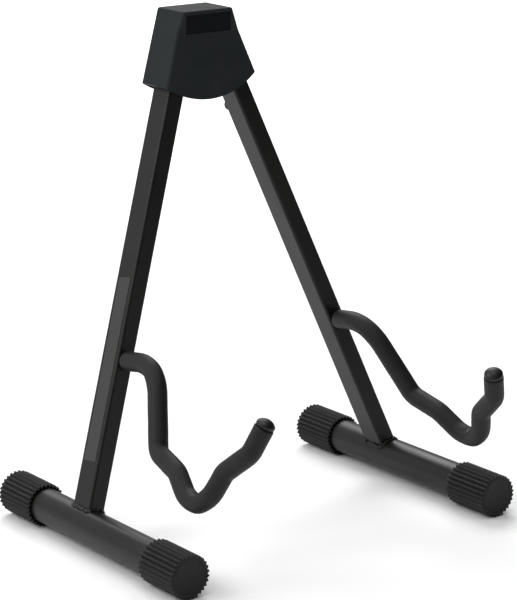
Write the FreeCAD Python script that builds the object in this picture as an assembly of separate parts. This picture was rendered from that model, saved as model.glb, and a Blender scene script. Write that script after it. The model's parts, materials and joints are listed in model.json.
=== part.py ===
# A-frame floor stand for a guitar: two flat welded half-frames hinged side by side
# under a moulded head, each with a round foot tube, a leaning leg and a bent padded arm.
# Millimetres. +Z is up, the arms point to -Y, the middle plane between the legs is X = 0.
import FreeCAD, Part
import os
from math import sin, cos, tan, pi, radians, degrees, hypot, atan2

V = FreeCAD.Vector
os.makedirs("parts", exist_ok=True)

# ---- driving dimensions -------------------------------------------------------------
# stance and angles
STANCE = 343.4        # between the two foot tube axes when the stand is open
PIVOT_H = 435.0       # hinge bolts above the floor
PIVOT_SPAN = 31.2     # between the two hinge bolts
LEAN = 9.2            # the leg leans back inside its half-frame, degrees
# leg tube
LEG_W = 17.0          # across
LEG_D = 25.5          # front to back
LEG_WALL = 1.5
LEG_R = 2.2           # outer corner radius
LEG_PAST_PIVOT = 10.0  # leg tube carries on above the hinge bolt
PLUG_LIP = 1.0
PLUG_SPIGOT = 3.5
# foot tube and rubber caps
FOOT_OD = 31.75
FOOT_WALL = 1.6
FOOT_FRONT = 159.5    # leg crossing to the front end face of the cap
FOOT_REAR = 114.0     # leg crossing to the rear end face of the cap
CAP_WALL = 3.975      # rubber outside the tube, out to the rib tips
CAP_LEN = 50.0
CAP_RIBS = 28
CAP_RIB_DEEP = 1.7
CAP_FLOOR = 4.0       # closed end of the cap
CAP_BEVEL = 1.9       # rib tips fall away at the closed end
CAP_DISH = 0.6        # depth of the flat dish in the end face
CAP_RIM = 4.2         # rib tips to the edge of the dish
WELD_LEG = 2.2        # foot weld, out from the leg
WELD_TUBE = 1.9       # foot weld, up from the foot tube
# arm
ROD_D = 8.0
SLEEVE_WALL = 4.75
ARM_ROOT_H = 148.0    # arm leaves the leg this far above the foot axis, along the frame
ROD_SET_IN = 1.4      # rod let into the leg wall
ARM_TOE = {-1: 1.2, 1: 0.6}   # the left and right arms are welded opening outwards by this, degrees
SLEEVE_START = 2.4    # leg face to the start of the sleeve
ARM_WELD_OUT = 2.6    # weld at the leg, out from the rod
ARM_WELD_EDGE = 1.0   # the same at the weld's outer end
ARM_WELD_T = 2.0
TIP_LEN = 7.8         # domed plug on the arm's end
TIP_INSET = 0.45      # sleeve's outside to the plug's outside
TIP_NECK = 1.1        # length of the narrow neck between plug and sleeve
TIP_GROOVE = 1.9      # depth of the groove at that neck
TIP_BARREL = 2.4
TIP_FLATTER = 1.9     # the dome's radius over the plug's own
TIP_COVERS = 4.0      # rod end inside the plug
# the bent line of the arm: forward from the foot crossing, and up the half-frame
HUMP_F = 35.0         # end of the run that leaves the leg square
STEP_F, STEP_V = 72.8, 85.7       # foot of the steep run, start of the upper step
DROP_F, DROP_V = 106.0, 76.7      # end of the upper step
VALLEY_F, VALLEY_V = 150.0, 44.5  # corner of the lower V
RISE_F, RISE_V = 167.7, 93.0      # start of the front step
LIP_F, LIP_V = 193.0, 116.0       # start of the upright end
TIP_F, TIP_V = 202.5, 147.6       # top of the tip
HUMP_R, STEP_R, DROP_R, VALLEY_R, RISE_R, LIP_R = 38.0, 16.0, 24.0, 26.0, 14.0, 18.0
# hinge
BOLT_D = 6.0
BUSH_WALL = 2.0       # bolt to the bush's outside
BUSH_PROUD = 0.3      # bush stands past the sloping leg faces
WASHER_T = 1.0
WASHER_RING = 3.0     # bolt to the washer's rim
NUT_WALL = 2.0        # bolt to the nut's flats
NUT_T = 3.0
BOLT_HEAD_OVER = 2.4  # the bolt head's rim stands out this far from the shank
BOLT_HEAD_RIM = 1.2
BOLT_HEAD_CROWN = 1.5
BOLT_CROWN_IN = 1.8   # the crown draws in this far from the rim
BOLT_KEY = 4.0        # hex key size
BOLT_KEY_DEEP = 1.7
RUN = 0.05            # radial running clearance of the bush on its bolt
GAP = 0.3             # between parts that move past each other
FIT = 0.1             # clearance of a part dropped into a pocket
WASHER_PLAY = 0.4     # round the rear washers
HEAD_PLAY = 0.5       # round the bolt heads
# head
HEAD_WALL = 2.5
HEAD_ROOM_UP = 1.44   # highest corner of an open leg to the inside of the top
HEAD_SIDE = 10.5      # leg's side to the head's side at the hinge
HEAD_STEEPER = 0.55   # the head's sides are this much steeper than the legs, degrees
HEAD_COVER = 7.25     # leg's face to the head's outside, front and rear
HEAD_FRONT_H = 21.5   # height of the upright band at the top of the front
HEAD_FRONT_OUT = 1.0  # that band comes forward by this at its top
HEAD_SKIRT = {-1: 65.2, 1: 59.0}  # top to the bottom corners, left and right
HEAD_BELLY = 78.5     # top to the lowest point of the arc
HEAD_REAR_RUN = 0.135  # the back leans this much per unit of height
HEAD_EDGE_R = 2.6
BOSS_WALL = 2.1       # plastic round the nut's corners
POST_WALL = 1.1       # plastic round the rear washer
SEAT_T = 1.9          # back wall left under the bolt head
STOP_T = 14.0         # open stop, out from the leg's side
STOP_D = 16.0
STOP_H = 13.0
STOP_DOWN = 33.0      # hinge bolt to the foot of the stop, along the frame
BADGE_SIDE = 2.2      # recess to the top's side edge
BADGE_T = 0.8
BADGE_DEEP = 1.1
BADGE_EDGE_LOW = 0.8  # kink to the recess
BADGE_EDGE_TOP = 3.4  # top to the recess
# label and button
LABEL_S = 56.0        # foot axis to the label's lower end, along the leg
LABEL_L = 165.0
LABEL_W = 16.4
LABEL_T = 0.25
BUTTON_DOWN = 78.2    # hinge bolt to the button, along the leg
BUTTON_OD = 10.8
BUTTON_BARREL = 7.2
BUTTON_LEN = 10.5     # leg's face to the crown of the dome
BUTTON_BALL_R = 6.2
STUD_D = 4.0
STUD_L = 3.4

# ---- derived ------------------------------------------------------------------------
ph = radians(LEAN)
foot_r = FOOT_OD / 2
cap_r = foot_r + CAP_WALL
bolt_r = BOLT_D / 2
bush_r = bolt_r + BUSH_WALL
washer_r = bolt_r + WASHER_RING
bolt_head_r = bolt_r + BOLT_HEAD_OVER
nut_flats = BOLT_D + 2 * NUT_WALL
rod_r = ROD_D / 2
sleeve_r = rod_r + SLEEVE_WALL
tip_r = sleeve_r - TIP_INSET
axis_h = cap_r * cos(pi / CAP_RIBS)              # stands on two rib tips of each cap
pivot_x = PIVOT_SPAN / 2
th = atan2(STANCE / 2 - pivot_x, PIVOT_H - axis_h)    # each half-frame's angle from upright
splay = degrees(th)
pivot_v = (PIVOT_H - axis_h) / cos(th)           # hinge above the foot axis, in the frame
pivot_s = pivot_v / cos(ph)                      # the same, along the leg
pivot_y = pivot_v * tan(ph)
leg_top = pivot_s + LEG_PAST_PIVOT
far = 10 * max(FOOT_FRONT, FOOT_REAR)            # longer than anything here, for cutting tools

arm_s = ARM_ROOT_H / cos(ph) - LEG_D / 2 * tan(ph)
root = (LEG_D / 2 * cos(ph) - arm_s * sin(ph), ARM_ROOT_H)
hump = (HUMP_F, ARM_ROOT_H + (HUMP_F - root[0]) * tan(ph))
bend_points = [root, hump, (STEP_F, STEP_V), (DROP_F, DROP_V), (VALLEY_F, VALLEY_V),
               (RISE_F, RISE_V), (LIP_F, LIP_V), (TIP_F, TIP_V)]
bend_radii = [HUMP_R, STEP_R, DROP_R, VALLEY_R, RISE_R, LIP_R]
tip_run = hypot(TIP_F - LIP_F, TIP_V - LIP_V)
tip_dir = ((TIP_F - LIP_F) / tip_run, (TIP_V - LIP_V) / tip_run)
tip_shoulder = TIP_LEN - TIP_NECK - TIP_BARREL
arm_front = TIP_F - tip_shoulder * tip_dir[0] + tip_r * tip_dir[1]
shift_y = (max(arm_front, FOOT_FRONT) - FOOT_REAR) / 2   # centres the footprint on the origin


# ---- helpers ------------------------------------------------------------------------
def save(shape, name):
    shape.exportStep("parts/" + name + ".step")


def prism(points, direction):
    wire = Part.makePolygon(points + [points[0]])
    return Part.Face(wire).extrude(direction)


def rod_y(radius, y0, y1, x=0.0, z=0.0):
    return Part.makeCylinder(radius, y1 - y0, V(x, y0, z), V(0, 1, 0))


def hex_y(flats, y0, y1, x=0.0, z=0.0):
    r = flats / 2 / cos(pi / 6)
    pts = [V(x + r * cos(pi / 3 * i), y0, z + r * sin(pi / 3 * i)) for i in range(6)]
    return prism(pts, V(0, y1 - y0, 0))


def tilt(shape):
    # stands a shape built along Z on the leg axis of its half-frame
    shape.rotate(V(0, 0, 0), V(1, 0, 0), -LEAN)
    return shape


def place(shape, side):
    # half-frame coordinates (X across, Z up the frame, origin on the foot axis) to the stand
    out = shape.copy()
    out.rotate(V(0, 0, 0), V(0, 1, 0), -side * splay)
    out.translate(V(side * STANCE / 2, shift_y, axis_h))
    return out


def stood(shape):
    # a shape that is already upright and only moves to the stand's origin
    out = shape.copy()
    out.translate(V(0, shift_y, 0))
    return out


def bar(width, depth, s0, s1, radius):
    box = Part.makeBox(width, depth, s1 - s0, V(-width / 2, -depth / 2, s0))
    half = (s1 - s0) / 2
    long_edges = [e for e in box.Edges if abs(e.Vertexes[0].Z - e.Vertexes[1].Z) > half]
    return box.makeFillet(radius, long_edges) if radius > 0 else box


def rounded(points, radii):
    # straight runs joined by arcs; points are (forward, up) pairs in the half-frame
    def at(p):
        return V(0, -p[0], p[1])

    edges = []
    here = points[0]
    for i in range(1, len(points) - 1):
        a, b, c = points[i - 1], points[i], points[i + 1]
        la, lc = hypot(a[0] - b[0], a[1] - b[1]), hypot(c[0] - b[0], c[1] - b[1])
        ua = ((a[0] - b[0]) / la, (a[1] - b[1]) / la)
        uc = ((c[0] - b[0]) / lc, (c[1] - b[1]) / lc)
        turn = pi - atan2(abs(ua[0] * uc[1] - ua[1] * uc[0]), ua[0] * uc[0] + ua[1] * uc[1])
        t = radii[i - 1] * tan(turn / 2)
        p, q = (b[0] + ua[0] * t, b[1] + ua[1] * t), (b[0] + uc[0] * t, b[1] + uc[1] * t)
        bis = (ua[0] + uc[0], ua[1] + uc[1])
        lb = hypot(bis[0], bis[1])
        m = radii[i - 1] * (1 / cos(turn / 2) - 1)
        mid = (b[0] + bis[0] / lb * m, b[1] + bis[1] / lb * m)
        edges.append(Part.makeLine(at(here), at(p)))
        edges.append(Part.Arc(at(p), at(mid), at(q)).toShape())
        here = q
    edges.append(Part.makeLine(at(here), at(points[-1])))
    return Part.Wire(edges)


# ---- foot tube, caps ----------------------------------------------------------------
tube_y0 = -FOOT_FRONT + CAP_FLOOR
tube_y1 = FOOT_REAR - CAP_FLOOR
foot_solid = rod_y(foot_r, tube_y0, tube_y1)
foot_tube = foot_solid.cut(rod_y(foot_r - FOOT_WALL, tube_y0 - 1, tube_y1 + 1))

# star section with pointed ribs, a valley straight down, bevelled at both ends
star = []
for i in range(2 * CAP_RIBS):
    a = -pi / 2 + pi / CAP_RIBS * (i + 1)
    r = cap_r if i % 2 == 0 else cap_r - CAP_RIB_DEEP
    star.append(V(r * cos(a), 0, r * sin(a)))
cap = prism(star, V(0, CAP_LEN, 0))
over = cap_r + FIT
bevel = [V(0, 0, 0), V(cap_r - CAP_BEVEL, 0, 0), V(over, CAP_BEVEL - 2 * FIT, 0),
         V(over, CAP_LEN - CAP_BEVEL / 2, 0), V(over - CAP_BEVEL / 2, CAP_LEN, 0), V(0, CAP_LEN, 0)]
envelope = Part.Face(Part.makePolygon(bevel + [bevel[0]])).revolve(V(0, 0, 0), V(0, 1, 0), 360)
cap = cap.common(envelope)
cap = cap.cut(rod_y(foot_r, CAP_FLOOR, CAP_LEN + 1))
cap = cap.cut(rod_y(cap_r - CAP_RIM, -1, CAP_DISH))


def foot_cap(side, front):
    c = cap.copy()
    if not front:
        c.rotate(V(0, 0, 0), V(0, 0, 1), 180)
    c.translate(V(side * STANCE / 2, shift_y + (-FOOT_FRONT if front else FOOT_REAR), axis_h))
    return c


# ---- leg tube, its plug and its weld --------------------------------------------------
inner_w = LEG_W - 2 * LEG_WALL
inner_d = LEG_D - 2 * LEG_WALL
leg = tilt(bar(LEG_W, LEG_D, 0, leg_top, LEG_R))
leg_inner = tilt(bar(inner_w, inner_d, -1, leg_top + 1, LEG_R - LEG_WALL))
# the hinge bolt lies level while the leg leans, so the bush has to clear the sloping faces
bush_half = LEG_D / 2 / cos(ph) + bush_r * tan(ph) + BUSH_PROUD
bush_solid = rod_y(bush_r, pivot_y - bush_half, pivot_y + bush_half, 0, pivot_v)
bush = bush_solid.cut(rod_y(bolt_r + RUN, pivot_y - far, pivot_y + far, 0, pivot_v))

out_dir = V(0, -cos(ph), sin(ph))                # square out of the leg's front face
root_v = V(0, -root[0], root[1])
leg_tube = leg.cut(leg_inner).cut(foot_solid).cut(bush_solid)
rod_seat = Part.makeCylinder(rod_r, ROD_SET_IN + 1, root_v - out_dir * ROD_SET_IN, out_dir)


def toed(shape, side):
    # turns an arm outwards about the upright line through its root
    out = shape.copy()
    out.rotate(root_v, V(0, 0, 1), side * ARM_TOE[side])
    return out



plug = tilt(bar(inner_w - FIT, inner_d - FIT, leg_top - PLUG_SPIGOT, leg_top, LEG_R - LEG_WALL))
plug = plug.fuse(tilt(bar(LEG_W, LEG_D, leg_top, leg_top + PLUG_LIP, LEG_R))).removeSplitter()
plug = plug.cut(rod_y(bush_r + 2 * FIT, pivot_y - far, pivot_y + far, 0, pivot_v))

# fillet weld all round where the leg is cut to sit on the foot tube
weld = tilt(bar(LEG_W + 2 * WELD_LEG, LEG_D + 2 * WELD_LEG, 0, FOOT_OD, LEG_R + WELD_LEG))
weld = weld.common(rod_y(foot_r + WELD_TUBE, -far, far)).cut(foot_solid)
weld = weld.cut(tilt(bar(LEG_W, LEG_D, -1, 2 * FOOT_OD, LEG_R)))
weld = weld.common(Part.makeBox(far, far, far, V(-far / 2, -far / 2, 0)))


# ---- arm ----------------------------------------------------------------------------
def arm_sweep(start_cut, end_cut, radius):
    pts = list(bend_points)
    pts[0] = (root[0] + start_cut * cos(ph), root[1] + start_cut * sin(ph))
    pts[-1] = (TIP_F - tip_dir[0] * end_cut, TIP_V - tip_dir[1] * end_cut)
    ring = Part.Wire(Part.makeCircle(radius, V(0, -pts[0][0], pts[0][1]), out_dir))
    return rounded(pts, bend_radii).makePipeShell([ring], True, False)


rod = arm_sweep(-ROD_SET_IN, TIP_LEN - TIP_COVERS, rod_r)
sleeve = arm_sweep(SLEEVE_START, TIP_LEN, sleeve_r).cut(rod)
arm_weld = Part.makeCylinder(rod_r + ARM_WELD_OUT, ROD_SET_IN, root_v - out_dir * ROD_SET_IN, out_dir)
weld_cone = Part.makeCone(rod_r + ARM_WELD_OUT, rod_r + ARM_WELD_EDGE, ARM_WELD_T, root_v, out_dir)
arm_weld = arm_weld.fuse(weld_cone)
arm_weld = arm_weld.cut(Part.makeCylinder(rod_r, far, root_v - out_dir * far / 2, out_dir))

# domed plug pushed over the rod end, with a narrow neck against the sleeve
tip_axis = V(0, -tip_dir[0], tip_dir[1])
tip_base = V(0, -TIP_F, TIP_V) - tip_axis * TIP_LEN
barrel_top = tip_base + tip_axis * (TIP_NECK + TIP_BARREL)
dome_r = tip_r + TIP_FLATTER
tip = Part.makeCylinder(tip_r - TIP_GROOVE, TIP_NECK + FIT, tip_base, tip_axis)
tip = tip.fuse(Part.makeCylinder(tip_r, TIP_BARREL, tip_base + tip_axis * TIP_NECK, tip_axis))
dome = Part.makeSphere(dome_r, tip_base + tip_axis * (TIP_LEN - dome_r))
dome = dome.common(Part.makeCylinder(tip_r, TIP_LEN, barrel_top, tip_axis))
tip = tip.fuse(dome).removeSplitter()
tip = tip.cut(Part.makeCylinder(rod_r, TIP_COVERS + 1, tip_base - tip_axis, tip_axis))

# ---- blank label on the outer side of the left leg, domed button on the right leg ------
label = tilt(Part.makeBox(LABEL_T, LABEL_W, LABEL_L, V(-LEG_W / 2 - LABEL_T, -LABEL_W / 2, LABEL_S)))

back = LEG_D / 2
button_s = pivot_s - BUTTON_DOWN
button = rod_y(BUTTON_OD / 2, back, back + BUTTON_BARREL, 0, button_s)
ball = Part.makeSphere(BUTTON_BALL_R, V(0, back + BUTTON_LEN - BUTTON_BALL_R, button_s))
ball = ball.common(rod_y(BUTTON_OD / 2, back + BUTTON_BARREL, back + far, 0, button_s))
stud = rod_y(STUD_D / 2, back - STUD_L, back + 1, 0, button_s)
button = tilt(button.fuse([ball, stud]).removeSplitter())
stud_hole = tilt(rod_y(STUD_D / 2, back - STUD_L, back + STUD_L, 0, button_s))


# ---- head ---------------------------------------------------------------------------
lean_y = tan(ph) / cos(th)                       # legs lean this much per unit of height
draft = th - radians(HEAD_STEEPER)
square = (1 + lean_y ** 2) ** 0.5                # along Y for each unit square to the lean
leg_rise = ((LEG_PAST_PIVOT + PLUG_LIP) * cos(ph) + LEG_D / 2 * sin(ph)) * cos(th) + LEG_W / 2 * sin(th)
head_top = PIVOT_H + leg_rise + HEAD_ROOM_UP + HEAD_WALL
head_half_t = LEG_D / 2 + HEAD_COVER
kink_h = head_top - HEAD_FRONT_H
skirt_h = {side: head_top - HEAD_SKIRT[side] for side in HEAD_SKIRT}
skirt_mid = (skirt_h[-1] + skirt_h[1]) / 2
belly_h = head_top - HEAD_BELLY
below = belly_h - 2 * head_half_t


def leg_y(h):
    return (h - axis_h) * lean_y


def head_half(h, t):
    # half the head's width at a height, less a wall
    return pivot_x + LEG_W / 2 + HEAD_SIDE - tan(draft) * (h - kink_h) - t / cos(draft)


def head_block(t, open_below):
    # outer form for t = 0, the hollow inside for t = wall thickness
    top = head_top - t
    low = {side: below if open_below else skirt_h[side] for side in skirt_h}
    x_top = head_half(top, t)
    corners = [V(-head_half(low[-1], t), 0, low[-1]), V(-x_top, 0, top), V(x_top, 0, top),
               V(head_half(low[1], t), 0, low[1])]
    if open_below:
        body = prism(corners, V(0, far, 0))
    else:
        sides = [Part.makeLine(corners[i], corners[i + 1]) for i in range(3)]
        belly = Part.Arc(corners[3], V(0, 0, belly_h), corners[0]).toShape()
        body = Part.Face(Part.Wire(sides + [belly])).extrude(V(0, far, 0))
    front = (t - head_half_t) * square
    rear_mid = leg_y(skirt_mid) - front
    depth = [V(-far, leg_y(below) + front, below), V(-far, leg_y(kink_h) + front, kink_h),
             V(-far, leg_y(kink_h) + front - HEAD_FRONT_OUT, top),
             V(-far, rear_mid + (top - skirt_mid) * HEAD_REAR_RUN, top),
             V(-far, rear_mid + (below - skirt_mid) * HEAD_REAR_RUN, below)]
    return body.common(prism(depth, V(2 * far, 0, 0)))


outer = head_block(0, False)
soft_edges = []                                  # four leaning corners and the rim of the top
for e in outer.Edges:
    a, b = e.Vertexes[0].Point, e.Vertexes[-1].Point
    upright = abs(a.z - b.z) > HEAD_FRONT_H / 2 and abs(a.y - b.y) < head_half_t
    if upright or min(a.z, b.z) > head_top - GAP:
        soft_edges.append(e)
outer = outer.makeFillet(HEAD_EDGE_R, soft_edges)
shell = outer.cut(head_block(HEAD_WALL, True))

kink_y = leg_y(kink_h) - head_half_t * square    # front surface at the kink
front_face = pivot_y - bush_half - GAP - WASHER_T     # where the front washer sits
rear_face = pivot_y + bush_half + GAP + WASHER_T
seat = rear_face + SEAT_T                        # bolt head seat in the back wall
nut_y0 = front_face - FIT - NUT_T
boss_r = (nut_flats + FIT) / 2 / cos(pi / 6) + BOSS_WALL
post_r = washer_r + WASHER_PLAY + POST_WALL
inside_skin = head_block(HEAD_WALL / 2, True)    # what is moulded on reaches into the wall
for side in (-1, 1):
    x = side * pivot_x
    boss = rod_y(boss_r, kink_y, front_face, x, PIVOT_H).common(inside_skin)
    post = rod_y(post_r, rear_face, rear_face + far, x, PIVOT_H).common(inside_skin)
    stop = Part.makeBox(STOP_T, STOP_D, STOP_H, V(-LEG_W / 2 - GAP - STOP_T, -STOP_D / 2, 0))
    stop_v = pivot_v - STOP_DOWN
    stop.translate(V(0, stop_v * tan(ph), stop_v))
    if side > 0:
        stop = stop.mirror(V(0, 0, 0), V(1, 0, 0))
    stop.rotate(V(0, 0, 0), V(0, 1, 0), -side * splay)
    stop.translate(V(side * STANCE / 2, 0, axis_h))
    shell = shell.fuse([boss, post, stop.common(inside_skin)])
for side in (-1, 1):
    x = side * pivot_x
    shell = shell.cut(hex_y(nut_flats + FIT, nut_y0 - FIT, front_face + 1, x, PIVOT_H))
    shell = shell.cut(rod_y(bolt_r + FIT, nut_y0 - FIT, rear_face + far, x, PIVOT_H))
    shell = shell.cut(rod_y(bolt_head_r + HEAD_PLAY, seat, seat + far, x, PIVOT_H))
    shell = shell.cut(rod_y(washer_r + WASHER_PLAY, rear_face - 3 * WASHER_T, rear_face, x, PIVOT_H))

# shallow rectangular recess high on the front, filled by a blank badge plate
badge_y = kink_y + BADGE_DEEP
badge_z0 = kink_h + BADGE_EDGE_LOW
badge_z1 = head_top - BADGE_EDGE_TOP
badge_half = head_half(head_top, 0) - BADGE_SIDE


def badge_form(y0, y1, inset):
    x0, z0, z1 = badge_half - inset, badge_z0 + inset, badge_z1 - inset
    return Part.makeBox(2 * x0, y1 - y0, z1 - z0, V(-x0, y0, z0))


shell = shell.cut(badge_form(badge_y - head_half_t, badge_y, 0)).removeSplitter()
badge = badge_form(badge_y - BADGE_T, badge_y, FIT)


def hinge_parts(side):
    x = side * pivot_x
    nut = hex_y(nut_flats, nut_y0, nut_y0 + NUT_T, x, PIVOT_H)
    nut = nut.cut(rod_y(bolt_r, nut_y0 - 1, front_face + 1, x, PIVOT_H))
    shank = rod_y(bolt_r, nut_y0, seat, x, PIVOT_H)
    rim = rod_y(bolt_head_r, seat, seat + BOLT_HEAD_RIM, x, PIVOT_H)
    crown = Part.makeCone(bolt_head_r, bolt_head_r - BOLT_CROWN_IN, BOLT_HEAD_CROWN,
                          V(x, seat + BOLT_HEAD_RIM, PIVOT_H), V(0, 1, 0))
    bolt = shank.fuse([rim, crown]).removeSplitter()
    head_end = seat + BOLT_HEAD_RIM + BOLT_HEAD_CROWN
    bolt = bolt.cut(hex_y(BOLT_KEY, head_end - BOLT_KEY_DEEP, head_end + 1, x, PIVOT_H))
    bore = rod_y(bolt_r + 2 * FIT, front_face - far, rear_face + far, x, PIVOT_H)
    washers = [rod_y(washer_r, front_face, front_face + WASHER_T, x, PIVOT_H).cut(bore),
               rod_y(washer_r, rear_face - WASHER_T, rear_face, x, PIVOT_H).cut(bore)]
    return bolt, nut, washers


# ---- write every piece ----------------------------------------------------------------
save(stood(shell), "head_shell")
save(stood(badge), "head_badge_plate")
for side, name in ((-1, "left"), (1, "right")):
    bolt, nut, washers = hinge_parts(side)
    save(stood(bolt), name + "_pivot_bolt")
    save(stood(nut), name + "_pivot_nut")
    save(stood(washers[0]), name + "_front_washer")
    save(stood(washers[1]), name + "_rear_washer")
    tube = leg_tube.cut(toed(rod_seat, side))
    if side > 0:
        tube = tube.cut(stud_hole)
    save(place(tube, side), name + "_leg_tube")
    save(place(bush, side), name + "_leg_bush")
    save(place(plug, side), name + "_leg_plug")
    save(place(foot_tube, side), name + "_foot_tube")
    save(place(weld, side), name + "_foot_weld")
    save(place(toed(rod, side), side), name + "_arm_rod")
    save(place(toed(arm_weld, side).cut(leg), side), name + "_arm_weld")
    save(place(toed(sleeve, side), side), name + "_arm_sleeve")
    save(place(toed(tip, side), side), name + "_arm_tip")
    save(foot_cap(side, True), name + "_front_cap")
    save(foot_cap(side, False), name + "_rear_cap")
save(place(label, -1), "left_leg_label")
save(place(button, 1), "right_leg_button")
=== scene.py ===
import json
from math import asin, atan2, cos, exp, hypot, pi, radians, sin, tan

import bmesh
import bpy
from mathutils import Matrix, Vector, noise


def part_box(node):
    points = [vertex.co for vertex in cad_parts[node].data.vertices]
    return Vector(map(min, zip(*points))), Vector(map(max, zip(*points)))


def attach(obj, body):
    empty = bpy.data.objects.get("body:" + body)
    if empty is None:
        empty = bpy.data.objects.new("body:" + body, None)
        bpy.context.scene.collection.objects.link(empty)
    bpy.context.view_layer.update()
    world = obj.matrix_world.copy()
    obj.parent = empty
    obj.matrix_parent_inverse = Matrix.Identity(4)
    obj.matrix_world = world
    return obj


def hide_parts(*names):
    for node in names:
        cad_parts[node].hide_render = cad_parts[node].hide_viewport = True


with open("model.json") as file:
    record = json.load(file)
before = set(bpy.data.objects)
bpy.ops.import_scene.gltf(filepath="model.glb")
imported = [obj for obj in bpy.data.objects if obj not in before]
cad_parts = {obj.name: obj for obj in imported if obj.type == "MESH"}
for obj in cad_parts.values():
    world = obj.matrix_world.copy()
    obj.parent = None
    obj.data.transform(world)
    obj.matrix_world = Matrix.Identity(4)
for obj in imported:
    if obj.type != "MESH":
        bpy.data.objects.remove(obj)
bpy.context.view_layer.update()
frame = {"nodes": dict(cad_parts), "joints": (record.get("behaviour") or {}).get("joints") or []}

nodes = frame["nodes"]
sides = ("left", "right")

# ---- Viewpoint ----------------------------------------------------------------------
# A long lens at table height, to the left of the stand's front, so that the uprights stay
# nearly parallel. The small shift only centres the stand in the upright frame.
LENS_MM = 150
SENSOR_MM = 36
CAMERA_AT = (-1.30333, -1.69567, 0.77443)
CAMERA_DOWN = 15.14        # degrees below level
CAMERA_TURN = 36.35        # degrees clockwise from straight at the front
CAMERA_SHIFT = (0.05769, 0.02147)

cam_data = bpy.data.cameras.new("stand_camera")
cam_data.lens = LENS_MM
cam_data.sensor_width = SENSOR_MM
cam_data.shift_x, cam_data.shift_y = CAMERA_SHIFT
camera = bpy.data.objects.new("stand_camera", cam_data)
camera.location = CAMERA_AT
camera.rotation_euler = (radians(90 - CAMERA_DOWN), 0, radians(-CAMERA_TURN))
bpy.context.scene.collection.objects.link(camera)
bpy.context.scene.camera = camera

# ---- Studio --------------------------------------------------------------------------
# A white paper floor under three soft lights: one at the left, one above, and a wide one
# over the floor behind. The room is bright towards the back left and dark opposite, and
# the satin black parts show by what they reflect of it.
FLOOR_HALF = 5.0
FIBRE_MM = 1.11
ROOM_TOWARDS = Vector((-0.62, 0.55, 0.56))     # the middle of the room's bright side
ROOM_DIM = 0.015
ROOM_BRIGHT = 0.75
ROOM_FADE = (-0.35, 0.9)   # cosines of the angle from the bright side where it dims and glows
LAMPS = (                  # name, place, width, watts, the point it is turned to
    ("left_soft_box", (-1.9, 0.7, 1.7), 1.2, 20.0, (0, 0, 0.2)),
    ("backdrop_light", (1.9, 2.9, 3.0), 3.0, 150.0, (1.9, 2.9, 0)),
    ("top_soft_box", (-0.3, -0.5, 2.6), 1.4, 16.0, (0, 0, 0)))


def linear(code):
    """A colour written as sRGB hex, as the four linear numbers that a shader takes."""
    parts = [int(code[i:i + 2], 16) / 255 for i in (0, 2, 4)]
    return [p / 12.92 if p <= 0.04045 else ((p + 0.055) / 1.055) ** 2.4 for p in parts] + [1.0]


def add(tree, kind, settings=None, values=None, links=None):
    """One shader node with its settings, its socket values and what feeds its sockets."""
    node = tree.nodes.new(kind)
    for name, value in (settings or {}).items():
        setattr(node, name, value)
    for name, value in (values or {}).items():
        node.inputs[name].default_value = value
    for name, source in (links or {}).items():
        tree.links.new(source, node.inputs[name])
    return node


def new_finish(name):
    """A new material, its node tree, and the place on the piece that its patterns follow."""
    mat = bpy.data.materials.new(name)
    mat.use_nodes = True
    place = add(mat.node_tree, "ShaderNodeTexCoord")
    return mat, mat.node_tree, place.outputs["Object"]


def surface(mat, values, links):
    """Sets a finish's constants on its Principled shader and joins its patterns to it."""
    shader = mat.node_tree.nodes["Principled BSDF"]
    for name, value in values.items():
        shader.inputs[name].default_value = value
    for name, source in links.items():
        mat.node_tree.links.new(source, shader.inputs[name])


# Studio background paper, machine made and uncoated: it is matt, and its fibres, drawn
# coarser than they are, leave a faint tooth.
paper, tree, place = new_finish("matt_white_paper")
fibre = add(tree, "ShaderNodeTexNoise", values={"Scale": 1000 / FIBRE_MM, "Detail": 3.0},
            links={"Vector": place})
relief = add(tree, "ShaderNodeBump", values={"Strength": 0.05, "Distance": 0.0001},
             links={"Height": fibre.outputs["Fac"]})
surface(paper, {"Base Color": linear("FDFDFD"), "Roughness": 0.9},
        {"Normal": relief.outputs["Normal"]})

bpy.ops.object.select_all(action="DESELECT")
bpy.ops.mesh.primitive_plane_add(size=2 * FLOOR_HALF, location=(0, 0, 0))
sweep = bpy.context.active_object
sweep.name = "paper_sweep"
sweep.data.materials.append(paper)

world = bpy.data.worlds.new("studio")
bpy.context.scene.world = world
world.use_nodes = True
room = world.node_tree
toward = add(room, "ShaderNodeTexCoord")
facing = add(room, "ShaderNodeVectorMath", {"operation": "DOT_PRODUCT"}, {1: ROOM_TOWARDS},
             {0: toward.outputs["Generated"]})
fade = add(room, "ShaderNodeMapRange", {"interpolation_type": "SMOOTHSTEP"},
           {"From Min": ROOM_FADE[0], "From Max": ROOM_FADE[1],
            "To Min": ROOM_DIM, "To Max": ROOM_BRIGHT}, {"Value": facing.outputs["Value"]})
room.links.new(fade.outputs["Result"], room.nodes["Background"].inputs["Strength"])
room.nodes["Background"].inputs["Color"].default_value = linear("FFFFFF")
bpy.context.scene.view_settings.view_transform = "Standard"

for name, where, width, watts, aim in LAMPS:
    data = bpy.data.lights.new(name, "AREA")
    data.energy = watts
    data.size = width
    lamp = bpy.data.objects.new(name, data)
    lamp.location = where
    lamp.rotation_euler = (Vector(where) - Vector(aim)).to_track_quat("Z", "Y").to_euler()
    bpy.context.scene.collection.objects.link(lamp)

# ---- Legs, feet and arm rods ----------------------------------------------------------
# Welded mild steel: rectangular tube legs, round tube feet and bent rods for arms, all
# powder coated black after welding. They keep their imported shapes.
PEEL_MM = 2.2
GRIT_MM = 0.35
HANDLED_MM = 45.5

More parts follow.
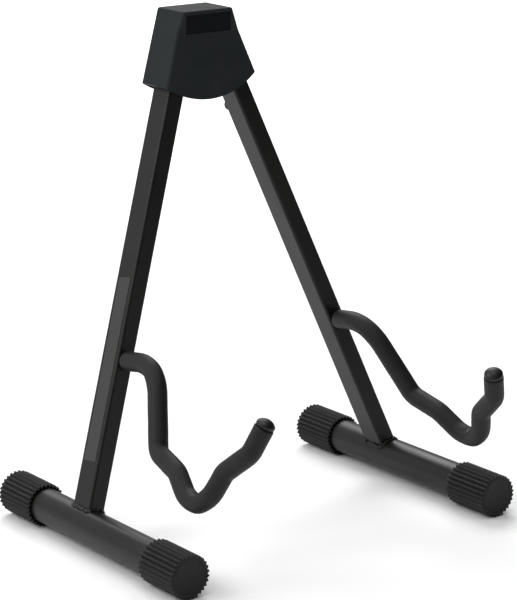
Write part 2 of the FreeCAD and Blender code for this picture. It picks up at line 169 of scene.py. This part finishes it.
# Polyester powder coat, sprayed on dry and baked. It is satin, with a slight orange peel and
# a fine grit that break up the highlights, and a gloss that changes slowly along the tube.
coat, tree, place = new_finish("black_powder_coat")
peel = add(tree, "ShaderNodeTexNoise",
           values={"Scale": 1000 / PEEL_MM, "Detail": 2.0, "Roughness": 0.5},
           links={"Vector": place})
grit = add(tree, "ShaderNodeTexNoise", values={"Scale": 1000 / GRIT_MM, "Detail": 1.0},
           links={"Vector": place})
cloud = add(tree, "ShaderNodeTexNoise",
            values={"Scale": 1000 / HANDLED_MM, "Detail": 4.0, "Roughness": 0.6},
            links={"Vector": place})
sheen = add(tree, "ShaderNodeMapRange",
            values={"From Min": 0.3, "From Max": 0.7, "To Min": 0.32, "To Max": 0.42},
            links={"Value": cloud.outputs["Fac"]})
tone = add(tree, "ShaderNodeValToRGB", links={"Fac": cloud.outputs["Fac"]})
tone.color_ramp.elements[0].color = linear("0F110F")
tone.color_ramp.elements[1].color = linear("151713")
mix = add(tree, "ShaderNodeMix", {"data_type": "FLOAT"}, {"Factor": 0.25},
          {"A": peel.outputs["Fac"], "B": grit.outputs["Fac"]})
relief = add(tree, "ShaderNodeBump", values={"Strength": 0.25, "Distance": 0.00006},
             links={"Height": mix.outputs["Result"]})
surface(coat, {"IOR": 1.4, "Specular IOR Level": 0.42},
        {"Base Color": tone.outputs["Color"], "Roughness": sheen.outputs["Result"],
         "Normal": relief.outputs["Normal"]})


def finish_node(name, mat):
    """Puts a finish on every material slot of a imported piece."""
    for slot in nodes[name].material_slots:
        slot.material = mat


for side in sides:
    for part in ("leg_tube", "foot_tube", "arm_rod"):
        finish_node(f"{side}_{part}", coat)

# ---- Weld beads -------------------------------------------------------------------------
# A fillet bead laid by hand round the bottom of each leg, then coated with the frame. The
# coat keeps the bead's lumps, so it is a rough ring between two smooth tubes. The arms'
# small beads, between the leg and the foam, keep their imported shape.
BEAD_VOXEL = 0.0005
BEAD_LUMP = 0.0030         # across one lump
BEAD_RISE = 0.0032
MERGE = 0.00001            # corners nearer than this are one corner

lump = bpy.data.textures.new("bead_lumps", "CLOUDS")
lump.noise_scale = BEAD_LUMP
lump.noise_depth = 1


def start_on(piece):
    """Makes a piece the only one selected, and the active one."""
    bpy.ops.object.select_all(action="DESELECT")
    piece.select_set(True)
    bpy.context.view_layer.objects.active = piece


def own_copy(node, name):
    """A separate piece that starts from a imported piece's mesh, with its loose faces merged."""
    piece = bpy.data.objects.new(name, nodes[node].data.copy())
    bpy.context.scene.collection.objects.link(piece)
    start_on(piece)
    bpy.ops.object.mode_set(mode="EDIT")
    bpy.ops.mesh.select_all(action="SELECT")
    bpy.ops.mesh.remove_doubles(threshold=MERGE)
    bpy.ops.object.mode_set(mode="OBJECT")
    return piece


def modify(kind, **settings):
    """Adds a modifier to the active piece and applies it."""
    bpy.ops.object.modifier_add(type=kind)
    modifier = bpy.context.object.modifiers[-1]
    for name, value in settings.items():
        setattr(modifier, name, value)
    bpy.ops.object.modifier_apply(modifier=modifier.name)


for side in sides:
    bead = own_copy(f"{side}_foot_weld", f"{side}_foot_bead")
    modify("REMESH", mode="VOXEL", voxel_size=BEAD_VOXEL)
    modify("SMOOTH", factor=0.5, iterations=3)
    modify("DISPLACE", texture=lump, strength=BEAD_RISE, mid_level=0.55, texture_coords="LOCAL")
    modify("SMOOTH", factor=0.4, iterations=1)
    bpy.ops.object.shade_smooth()
    bead.data.materials.clear()
    bead.data.materials.append(coat)
    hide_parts(f"{side}_foot_weld")
    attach(bead, f"{side}_frame")
    finish_node(f"{side}_arm_weld", coat)

# ---- Foam sleeves -----------------------------------------------------------------------
# Closed cell foam tube pushed over each bent arm so that it can't mark a guitar. The foam
# creases inside the bends, stands fuller round their outsides and is cut square at its ends.
LEAN = radians(9.2)        # how far the legs lean back
LEG_DEEP = 0.0255
ARM_ROOT = 0.148           # height of the arm's root over the foot's axis
ARM_TOE = {"left": radians(1.2), "right": radians(0.6)}
ARM_HUMP = 0.035           # how far out the arm's first bend is
ARM_POINTS = ((0.0728, 0.0857), (0.106, 0.0767), (0.150, 0.0445),      # its other corners and
              (0.1677, 0.093), (0.193, 0.116), (0.2025, 0.1476))       # its tip: out, up
ARM_RADII = (0.038, 0.016, 0.024, 0.026, 0.014, 0.018)
TIP_LEN = 0.0078           # the end plug, past the foam
SLEEVE_R = 0.00875
BORE_R = 0.00402
SLEEVE_START = 0.0024      # clear of the leg's face
RING_STEP = 0.0012
RING_POINTS = 40
SOFT_END = 0.0006          # the cut ends are a little rounded
SOFT_END_LONG = 0.0012
DIMPLE = 0.00012
DIMPLES_PER_M = 90
FULL_TURN = 1.85           # a bend as sharp as this, in radians, has the full crease
CREASE = 0.0028
CREASE_LONG = 0.0065
SWELL = 0.0009
WRINKLE = 0.00015
WRINKLE_PITCH = 0.0040
SEED_STEP = 1.7            # keeps the two sleeves from being alike
PORE_MM = 0.45
RUBBED_MM = 16.7


def half_frame(side):
    """Turns and places what is made flat, with its origin on the foot's axis at the leg."""
    low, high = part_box(f"{side}_foot_tube")
    fold = next(j for j in frame["joints"] if j["child"] == f"{side}_frame")
    hinge = Vector(fold["pos_m"])
    foot_x, foot_z = (low[0] + high[0]) / 2, (low[2] + high[2]) / 2
    rise = hinge.z - foot_z
    splay = atan2(foot_x - hinge.x, rise)
    crossing = hinge.y - hypot(foot_x - hinge.x, rise) * tan(LEAN)
    return Matrix.Translation((foot_x, crossing, foot_z)) @ Matrix.Rotation(-splay, 4, "Y")


arm_along = ARM_ROOT / cos(LEAN) - LEG_DEEP / 2 * tan(LEAN)
root = Vector((LEG_DEEP / 2 * cos(LEAN) - arm_along * sin(LEAN), ARM_ROOT))


def arm_place(side):
    """As half_frame, for an arm that opens outwards about the upright through its root."""
    out = ARM_TOE[side] if side == "right" else -ARM_TOE[side]
    at_root = Matrix.Translation((0, -root.x, root.y))
    return half_frame(side) @ at_root @ Matrix.Rotation(out, 4, "Z") @ at_root.inverted()


def bent_line():
    """Points along the arm from the leg, each with its direction, and each bend's middle
    and turn. A point is out from the leg and up, in the arm's own plane."""
    first = root + Vector((cos(LEAN), sin(LEAN))) * SLEEVE_START
    hump = Vector((ARM_HUMP, root.y + (ARM_HUMP - root.x) * tan(LEAN)))
    corners = [first, hump] + [Vector(p) for p in ARM_POINTS]
    last = (corners[-1] - corners[-2]).normalized()
    corners[-1] = corners[-1] - last * TIP_LEN
    line, folds, here = [], [], corners[0]
    for i, radius in enumerate(ARM_RADII):
        a, b, c = corners[i:i + 3]
        before, after = (b - a).normalized(), (c - b).normalized()
        turn = atan2(before.x * after.y - before.y * after.x, before.dot(after))
        back = radius * tan(abs(turn) / 2)
        straight = (b - before * back) - here
        steps = max(1, round(straight.length / RING_STEP))
        line += [(here + straight * k / steps, before) for k in range(steps)]
        side_on = Vector((-before.y, before.x)) * (1 if turn > 0 else -1)
        centre = b - before * back + side_on * radius
        steps = max(4, round(radius * abs(turn) / RING_STEP))
        folds.append((len(line) + steps / 2, turn))
        for k in range(steps):
            spun = Matrix.Rotation(turn * k / steps, 2)
            line.append((centre - spun @ side_on * radius, spun @ before))
        here = b + after * back
    straight = corners[-1] - here
    steps = round(straight.length / RING_STEP)
    line += [(here + straight * k / steps, last) for k in range(steps + 1)]
    return line, folds


def ring_point(at, heading, angle, out):
    """A point that lies out from the arm's line, at an angle round it."""
    lift = Vector((0, heading.y, heading.x))      # in the arm's plane, square to its run
    return Vector((0, -at.x, at.y)) + Vector((1, 0, 0)) * sin(angle) * out + lift * cos(angle) * out


def foam_sleeve(name, seed):
    """A sleeve made as rings along the arm: a skin with its creases, a bore and two cut ends."""
    line, folds = bent_line()
    count = len(line)
    skin, bore, faces = [], [], []
    for i, (at, heading) in enumerate(line):
        near = [(turn, exp(-((i - middle) * RING_STEP / CREASE_LONG) ** 2)) for middle, turn in folds]
        end = min(i, count - 1 - i) * RING_STEP
        shut = SOFT_END * max(0.0, 1 - end / SOFT_END_LONG) ** 2
        wave = cos(2 * pi * i * RING_STEP / WRINKLE_PITCH + seed)
        for k in range(RING_POINTS):
            a = 2 * pi * k / RING_POINTS
            spot = Vector((at.x * DIMPLES_PER_M + seed, at.y * DIMPLES_PER_M, a / pi))
            size = SLEEVE_R - shut + DIMPLE * noise.noise(spot)
            for turn, share in near:
                inner = cos(a) if turn > 0 else -cos(a)    # 1 on the inside of the bend
                deep = share * (turn / FULL_TURN) ** 2
                size -= CREASE * deep * max(0, inner) ** 2
                size += (SWELL * max(0, -inner) ** 2 + WRINKLE * wave * max(0, inner)) * deep
            skin.append(ring_point(at, heading, a, size))
            bore.append(ring_point(at, heading, a, BORE_R))
    outer = len(skin)
    for i in range(count - 1):
        a, b = i * RING_POINTS, (i + 1) * RING_POINTS
        for k in range(RING_POINTS):
            n = (k + 1) % RING_POINTS
            faces.append((a + k, a + n, b + n, b + k))
            faces.append((outer + a + n, outer + a + k, outer + b + k, outer + b + n))
    z = (count - 1) * RING_POINTS
    for k in range(RING_POINTS):
        n = (k + 1) % RING_POINTS
        faces.append((k, outer + k, outer + n, n))
        faces.append((z + n, outer + z + n, outer + z + k, z + k))
    mesh = bpy.data.meshes.new(name)
    mesh.from_pydata(skin + bore, [], faces)
    mesh.update()
    piece = bpy.data.objects.new(name, mesh)
    bpy.context.scene.collection.objects.link(piece)
    start_on(piece)
    bpy.ops.object.mode_set(mode="EDIT")
    bpy.ops.mesh.select_all(action="SELECT")
    bpy.ops.mesh.normals_make_consistent(inside=False)
    bpy.ops.object.mode_set(mode="OBJECT")
    bpy.ops.object.shade_smooth_by_angle(angle=radians(50))
    return piece


# Nitrile rubber foam tube, extruded and blown. Its skin is dull and faintly pored, and a
# shade lighter where it has been rubbed. The pores are drawn coarser than they are.
foam, tree, place = new_finish("nbr_foam_skin")
pores = add(tree, "ShaderNodeTexNoise",
            values={"Scale": 1000 / PORE_MM, "Detail": 3.0, "Roughness": 0.7},
            links={"Vector": place})
rub = add(tree, "ShaderNodeTexNoise",
          values={"Scale": 1000 / RUBBED_MM, "Detail": 5.0, "Roughness": 0.6},
          links={"Vector": place})
tone = add(tree, "ShaderNodeValToRGB", links={"Fac": rub.outputs["Fac"]})
tone.color_ramp.elements[0].position = 0.3
tone.color_ramp.elements[1].position = 0.7
tone.color_ramp.elements[0].color = linear("161716")
tone.color_ramp.elements[1].color = linear("1D1E1C")
relief = add(tree, "ShaderNodeBump", values={"Strength": 0.35, "Distance": 0.0001},
             links={"Height": pores.outputs["Fac"]})
surface(foam, {"Roughness": 0.55, "IOR": 1.33},
        {"Base Color": tone.outputs["Color"], "Normal": relief.outputs["Normal"]})

for number, side in enumerate(sides):
    sleeve = foam_sleeve(f"{side}_foam_sleeve", SEED_STEP * number)
    sleeve.data.transform(arm_place(side))
    sleeve.data.materials.append(foam)
    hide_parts(f"{side}_arm_sleeve")
    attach(sleeve, f"{side}_frame")

# ---- Arm end plugs ----------------------------------------------------------------------
# Soft vinyl plugs pushed over the end of each arm. A narrow neck leaves a shadow line where
# the plug meets the foam, and the end is a low dome.
PLUG_R = 0.0083
PLUG_NECK = 0.0011
PLUG_GROOVE = 0.0019       # how deep the neck is cut in from the plug's side
PLUG_DOME_R = 0.0102
PLUG_COVERS = 0.004        # how much of the arm's end is inside the plug
PLUG_EDGE = 0.0005
DOME_STEPS = 7
DOME_MIDDLE = 0.7          # the dome's last step goes in this share of what is left
FLOW_MM = 5.55
rim = asin(PLUG_R / PLUG_DOME_R)
barrel = TIP_LEN - PLUG_NECK - PLUG_DOME_R * (1 - cos(rim))


def pick(keep):
    """In edit mode, selects the faces for which keep(centre, normal) holds, and no others."""
    bpy.ops.mesh.select_mode(type="FACE")
    bpy.ops.mesh.select_all(action="DESELECT")
    mesh = bmesh.from_edit_mesh(bpy.context.object.data)
    for face in mesh.faces:
        face.select_set(bool(keep(face.calc_center_median(), face.normal)))
    bmesh.update_edit_mesh(bpy.context.object.data)


bpy.ops.object.select_all(action="DESELECT")
bpy.ops.mesh.primitive_cylinder_add(vertices=48, radius=PLUG_R, depth=barrel,
                                    location=(0, 0, PLUG_NECK + barrel / 2))
bpy.ops.object.transform_apply(location=True, rotation=True, scale=True)
end_plug = bpy.context.object
bpy.ops.object.mode_set(mode="EDIT")
pick(lambda centre, normal: normal.z > 0.9)
for i in range(DOME_STEPS):
    a, b = rim * (1 - i / DOME_STEPS), rim * (1 - (i + 1) / DOME_STEPS)
    inward = PLUG_DOME_R * (sin(a) - sin(b)) if i < DOME_STEPS - 1 else PLUG_DOME_R * sin(a) * DOME_MIDDLE
    bpy.ops.mesh.inset(thickness=inward, depth=PLUG_DOME_R * (cos(b) - cos(a)))
pick(lambda centre, normal: normal.z < -0.9)
bpy.ops.mesh.inset(thickness=PLUG_GROOVE)
bpy.ops.mesh.extrude_region_move(TRANSFORM_OT_translate={"value": (0, 0, -PLUG_NECK)})
bpy.ops.mesh.inset(thickness=PLUG_R - PLUG_GROOVE - BORE_R)
bpy.ops.mesh.extrude_region_move(TRANSFORM_OT_translate={"value": (0, 0, PLUG_COVERS)})
bpy.ops.object.mode_set(mode="OBJECT")
modify("BEVEL", width=PLUG_EDGE, segments=3, limit_method="ANGLE", angle_limit=radians(20))
bpy.ops.object.shade_smooth_by_angle(angle=radians(40))

# Soft PVC, or vinyl, dip moulded. It is deep black and satin, and its slightly uneven flow
# softens the light on the dome.
vinyl, tree, place = new_finish("dipped_soft_pvc")
flow = add(tree, "ShaderNodeTexNoise", values={"Scale": 1000 / FLOW_MM, "Detail": 2.0},
           links={"Vector": place})
smear = add(tree, "ShaderNodeMapRange", values={"To Min": 0.4, "To Max": 0.5},
            links={"Value": flow.outputs["Fac"]})
relief = add(tree, "ShaderNodeBump", values={"Strength": 0.15, "Distance": 0.0001},
             links={"Height": flow.outputs["Fac"]})
surface(vinyl, {"Base Color": linear("0E0E0E"), "IOR": 1.42},
        {"Roughness": smear.outputs["Result"], "Normal": relief.outputs["Normal"]})

end_plug.data.materials.append(vinyl)
plug_axis = (Vector(ARM_POINTS[-1]) - Vector(ARM_POINTS[-2])).normalized()
plug_foot = Vector(ARM_POINTS[-1]) - plug_axis * TIP_LEN
upright = Matrix.Rotation(atan2(plug_axis.x, plug_axis.y), 4, "X")
for side in sides:
    plug = bpy.data.objects.new(f"{side}_arm_plug", end_plug.data.copy())
    bpy.context.scene.collection.objects.link(plug)
    plug.data.transform(arm_place(side) @ Matrix.Translation((0, -plug_foot.x, plug_foot.y)) @ upright)
    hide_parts(f"{side}_arm_tip")
    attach(plug, f"{side}_frame")
bpy.data.objects.remove(end_plug)

# ---- Foot caps ----------------------------------------------------------------------------
# Moulded rubber caps pulled over both ends of each foot so that the stand can't slide. They
# are ribbed lengthwise to grip the floor. The ribs end in teeth at both rims, the closed end
# is slightly dished, and the mouth is sunk a little round the tube.
CAP_RIBS = 28
CAP_LEN = 0.050
CAP_FLOOR = 0.004          # thickness of the closed end
CAP_GROOVE = 0.0025        # depth between the ribs
CAP_RAMP = 0.0009          # how far the ribs slope in at the closed end
CAP_RIM = 0.0020
CAP_DISH = 0.0005
CAP_LIP = 0.0006
CAP_MOUTH = 0.0030
CAP_EDGE = 0.0001
CAP_MERGE = 0.00002        # corners that the edge bevel leaves nearer than this are one
RIB_ROUND = 0.0010
RIB_CREST = 0.0005         # what rounding takes off a crest, given back first
TUBE_R = 0.015875
BLOOM_MM = 3.0
RUBBER_GRAIN_MM = 0.385
cap_low, cap_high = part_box("left_front_cap")
crest_r = (cap_high[0] - cap_low[0]) / 2
groove_r = crest_r - CAP_GROOVE
crest_from = groove_r + CAP_GROOVE / 2     # what lies further out than this is on a crest


def pick_rib(keep):
    """In edit mode, selects the vertices for which keep(place, distance from the axis) holds."""
    bpy.ops.mesh.select_mode(type="VERT")
    bpy.ops.mesh.select_all(action="DESELECT")
    mesh = bmesh.from_edit_mesh(bpy.context.object.data)
    for vertex in mesh.verts:
        vertex.select_set(bool(keep(vertex.co, hypot(vertex.co.x, vertex.co.z))))
    mesh.select_flush_mode()
    bmesh.update_edit_mesh(bpy.context.object.data)


def on_rib(place):
    """Whether a corner of the round body belongs to a rib: every second one does."""
    return round(atan2(place.x, -place.z) * CAP_RIBS / pi) % 2 == 1


bpy.ops.object.select_all(action="DESELECT")
bpy.ops.mesh.primitive_cylinder_add(vertices=2 * CAP_RIBS, radius=groove_r, depth=CAP_LEN,
                                    location=(0, CAP_LEN / 2, 0), rotation=(radians(90), 0, 0))
bpy.ops.object.transform_apply(location=True, rotation=True, scale=True)
rubber_cap = bpy.context.object
bpy.ops.object.mode_set(mode="EDIT")
pick(lambda centre, normal: normal.y < -0.9)
bpy.ops.mesh.inset(thickness=CAP_RIM)
bpy.ops.mesh.inset(thickness=CAP_DISH, depth=-CAP_DISH)
pick(lambda centre, normal: normal.y > 0.9)
bpy.ops.mesh.inset(thickness=CAP_LIP)
bpy.ops.mesh.extrude_region_move(TRANSFORM_OT_translate={"value": (0, -CAP_MOUTH, 0)})
bpy.ops.mesh.inset(thickness=groove_r - TUBE_R - CAP_LIP)
bpy.ops.mesh.extrude_region_move(TRANSFORM_OT_translate={"value": (0, CAP_FLOOR - CAP_LEN + CAP_MOUTH, 0)})
pick_rib(lambda place, out: out > groove_r - CAP_LIP - CAP_EDGE and on_rib(place))
grow = (crest_r + RIB_CREST) / groove_r
bpy.ops.transform.resize(value=(grow, 1, grow), center_override=(0, CAP_LEN / 2, 0))
pick_rib(lambda place, out: out > crest_from and place.y < CAP_LEN / 2)
bpy.ops.transform.translate(value=(0, CAP_RAMP, 0))
bpy.ops.mesh.select_mode(type="EDGE")
bpy.ops.mesh.select_all(action="DESELECT")
mesh = bmesh.from_edit_mesh(rubber_cap.data)
for edge in mesh.edges:
    one, other = (v.co for v in edge.verts)
    crest = min(hypot(one.x, one.z), hypot(other.x, other.z)) > crest_from
    edge.select_set(crest and abs(one.y - other.y) > CAP_LEN / 2)
bmesh.update_edit_mesh(rubber_cap.data)
bpy.ops.mesh.bevel(offset=RIB_ROUND, segments=3, affect="EDGES")
bpy.ops.object.mode_set(mode="OBJECT")
modify("BEVEL", width=CAP_EDGE, segments=1, limit_method="ANGLE", angle_limit=radians(40))
modify("WELD", merge_threshold=CAP_MERGE)
bpy.ops.object.shade_smooth_by_angle(angle=radians(32))

# Natural and synthetic rubber with carbon black, compression moulded. It is dull, with a
# greyish bloom of wax and dust in patches and a fine grain, drawn coarser than it is.
rubber, tree, place = new_finish("moulded_rubber")
bloom = add(tree, "ShaderNodeTexNoise",
            values={"Scale": 1000 / BLOOM_MM, "Detail": 5.0, "Roughness": 0.65},
            links={"Vector": place})
tone = add(tree, "ShaderNodeValToRGB", links={"Fac": bloom.outputs["Fac"]})
tone.color_ramp.elements[0].position = 0.35
tone.color_ramp.elements[1].position = 0.7
tone.color_ramp.elements[0].color = linear("1A1B1B")
tone.color_ramp.elements[1].color = linear("232423")
grain = add(tree, "ShaderNodeTexNoise", values={"Scale": 1000 / RUBBER_GRAIN_MM, "Detail": 2.0},
            links={"Vector": place})
relief = add(tree, "ShaderNodeBump", values={"Strength": 0.3, "Distance": 0.00008},
             links={"Height": grain.outputs["Fac"]})
surface(rubber, {"Roughness": 0.66, "IOR": 1.36},
        {"Base Color": tone.outputs["Color"], "Normal": relief.outputs["Normal"]})

rubber_cap.data.materials.append(rubber)
for side in sides:
    for end in ("front", "rear"):
        low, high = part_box(f"{side}_{end}_cap")
        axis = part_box(f"{side}_foot_tube")
        height = (axis[0][2] + axis[1][2]) / 2
        turn = Matrix.Rotation(0 if end == "front" else pi, 4, "Z")
        face = low[1] if end == "front" else high[1]
        cap = bpy.data.objects.new(f"{side}_{end}_rubber_cap", rubber_cap.data.copy())
        bpy.context.scene.collection.objects.link(cap)
        cap.data.transform(Matrix.Translation(((low[0] + high[0]) / 2, face, height)) @ turn)
        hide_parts(f"{side}_{end}_cap")
        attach(cap, f"{side}_frame")
bpy.data.objects.remove(rubber_cap)

# ---- Head ---------------------------------------------------------------------------------
# One injection moulded hood over both hinges, with a blank plate in its front recess. Both
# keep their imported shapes.
ABS_GRAIN_MM = 0.5
TOUCHED_MM = 22.2
SPECK_MM = 0.77

# ABS, injection moulded in a spark eroded mould. Its fine grain keeps it from shining, and
# handling leaves cloudy patches that are a little smoother.
hood, tree, place = new_finish("moulded_abs")
grain = add(tree, "ShaderNodeTexNoise",
            values={"Scale": 1000 / ABS_GRAIN_MM, "Detail": 2.0, "Roughness": 0.6},
            links={"Vector": place})
handling = add(tree, "ShaderNodeTexNoise",
               values={"Scale": 1000 / TOUCHED_MM, "Detail": 6.0, "Roughness": 0.6,
                       "Distortion": 0.4},
               links={"Vector": place})
worn = add(tree, "ShaderNodeMapRange",
           values={"From Min": 0.35, "From Max": 0.65, "To Min": 0.4, "To Max": 0.52},
           links={"Value": handling.outputs["Fac"]})
tone = add(tree, "ShaderNodeValToRGB", links={"Fac": handling.outputs["Fac"]})
tone.color_ramp.elements[0].color = linear("25292B")
tone.color_ramp.elements[1].color = linear("2E3132")
relief = add(tree, "ShaderNodeBump", values={"Strength": 0.25, "Distance": 0.00008},
             links={"Height": grain.outputs["Fac"]})
surface(hood, {"IOR": 1.38, "Specular IOR Level": 0.07},
        {"Base Color": tone.outputs["Color"], "Roughness": worn.outputs["Result"],
         "Normal": relief.outputs["Normal"]})
finish_node("head_shell", hood)

# The same ABS from a coarser mould: small round specks make the plate darker and duller than
# the hood round it.
plate, tree, place = new_finish("coarse_grain_abs")
speck = add(tree, "ShaderNodeTexVoronoi", values={"Scale": 1000 / SPECK_MM},
            links={"Vector": place})
tone = add(tree, "ShaderNodeValToRGB", links={"Fac": speck.outputs["Distance"]})
tone.color_ramp.elements[0].color = linear("111319")
tone.color_ramp.elements[1].color = linear("07080D")
relief = add(tree, "ShaderNodeBump", values={"Strength": 0.5, "Distance": 0.00015},
             links={"Height": speck.outputs["Distance"]})
surface(plate, {"Roughness": 0.65, "IOR": 1.2},
        {"Base Color": tone.outputs["Color"], "Normal": relief.outputs["Normal"]})
finish_node("head_badge_plate", plate)

# ---- Hinge hardware and small fittings ------------------------------------------------------
# Steel bolts, nuts and washers, nylon bushes in the legs, plastic plugs in the leg tops, a
# rubber button behind the right leg and a blank label on the left one. All keep their
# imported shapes.
SPANGLE_MM = 2.0
MILK_MM = 6.67
WAX_MM = 4.17
RIPPLE_MM = 8.33

# Steel, cold headed or pressed, then zinc plated. It is bright grey, with a faint spangle
# that makes its gloss uneven.
zinc, tree, place = new_finish("zinc_plated_steel")
spangle = add(tree, "ShaderNodeTexNoise", values={"Scale": 1000 / SPANGLE_MM, "Detail": 3.0},
              links={"Vector": place})
smear = add(tree, "ShaderNodeMapRange", values={"To Min": 0.25, "To Max": 0.42},
            links={"Value": spangle.outputs["Fac"]})
relief = add(tree, "ShaderNodeBump", values={"Strength": 0.1, "Distance": 0.0001},
             links={"Height": spangle.outputs["Fac"]})
surface(zinc, {"Base Color": linear("C3C6C8"), "Metallic": 1.0},
        {"Roughness": smear.outputs["Result"], "Normal": relief.outputs["Normal"]})

# Natural nylon, injection moulded: milky and slightly see-through, with a soft gloss.
nylon, tree, place = new_finish("natural_nylon")
milk = add(tree, "ShaderNodeTexNoise", values={"Scale": 1000 / MILK_MM, "Detail": 2.0},
           links={"Vector": place})
tone = add(tree, "ShaderNodeValToRGB", links={"Fac": milk.outputs["Fac"]})
tone.color_ramp.elements[0].color = linear("D8D4C6")
tone.color_ramp.elements[1].color = linear("E6E2D6")
surface(nylon, {"Roughness": 0.45, "IOR": 1.53, "Subsurface Weight": 0.1},
        {"Base Color": tone.outputs["Color"]})

# Low density polyethylene, injection moulded: black and waxy, with a gloss that comes and goes.
polythene, tree, place = new_finish("black_polyethylene")
wax = add(tree, "ShaderNodeTexNoise", values={"Scale": 1000 / WAX_MM, "Detail": 3.0},
          links={"Vector": place})
smear = add(tree, "ShaderNodeMapRange", values={"To Min": 0.45, "To Max": 0.6},
            links={"Value": wax.outputs["Fac"]})
surface(polythene, {"Base Color": linear("1C1C1D"), "IOR": 1.51},
        {"Roughness": smear.outputs["Result"]})

# Polyester label film, coated and stuck down: smoother than the coat under it, with slow
# ripples from the glue.
film, tree, place = new_finish("polyester_label_film")
ripple = add(tree, "ShaderNodeTexNoise", values={"Scale": 1000 / RIPPLE_MM, "Detail": 2.0},
             links={"Vector": place})
tone = add(tree, "ShaderNodeValToRGB", links={"Fac": ripple.outputs["Fac"]})
tone.color_ramp.elements[0].color = linear("1D1B1A")
tone.color_ramp.elements[1].color = linear("232120")
relief = add(tree, "ShaderNodeBump", values={"Strength": 0.08, "Distance": 0.0001},
             links={"Height": ripple.outputs["Fac"]})
surface(film, {"Roughness": 0.3, "IOR": 1.6},
        {"Base Color": tone.outputs["Color"], "Normal": relief.outputs["Normal"]})

for side in sides:
    for part in ("pivot_bolt", "pivot_nut", "front_washer", "rear_washer"):
        finish_node(f"{side}_{part}", zinc)
    finish_node(f"{side}_leg_bush", nylon)
    finish_node(f"{side}_leg_plug", polythene)
finish_node("left_leg_label", film)
finish_node("right_leg_button", rubber)
